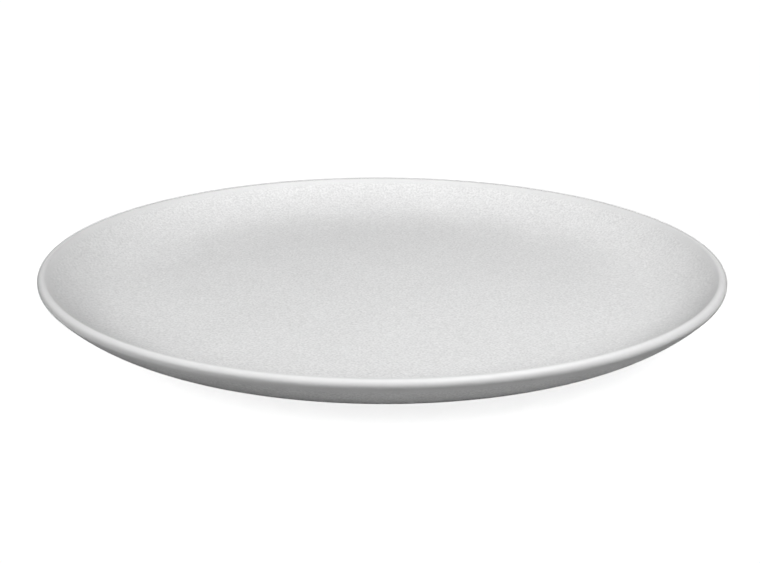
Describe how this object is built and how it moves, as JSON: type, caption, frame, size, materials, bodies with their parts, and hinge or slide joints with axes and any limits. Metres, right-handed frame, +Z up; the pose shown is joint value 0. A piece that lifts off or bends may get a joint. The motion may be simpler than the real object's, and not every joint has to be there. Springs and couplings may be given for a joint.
{
  "type": "coupe plate",
  "caption": "Round rimless coupe plate of unglazed bisque: a shallow flat-bottomed well that curves up to a rounded lip, standing on a luted foot ring.",
  "frame": {"origin": "on the table, at the middle of the foot ring's sole", "axes": "+Z up along the plate's axis; X and Y lie in the table, and the plate is the same all round"},
  "size_m": [0.267, 0.267, 0.023],
  "materials": {
    "bisque_body": "matt white unglazed bisque, fettled smooth, with a fine dry grain",
    "bisque_foot": "matt white unglazed bisque, sponged, with a sanded sole"
  },
  "bodies": {
    "root": {"plate_body": "bisque_body", "foot_ring": "bisque_foot"}
  },
  "joints": []
}
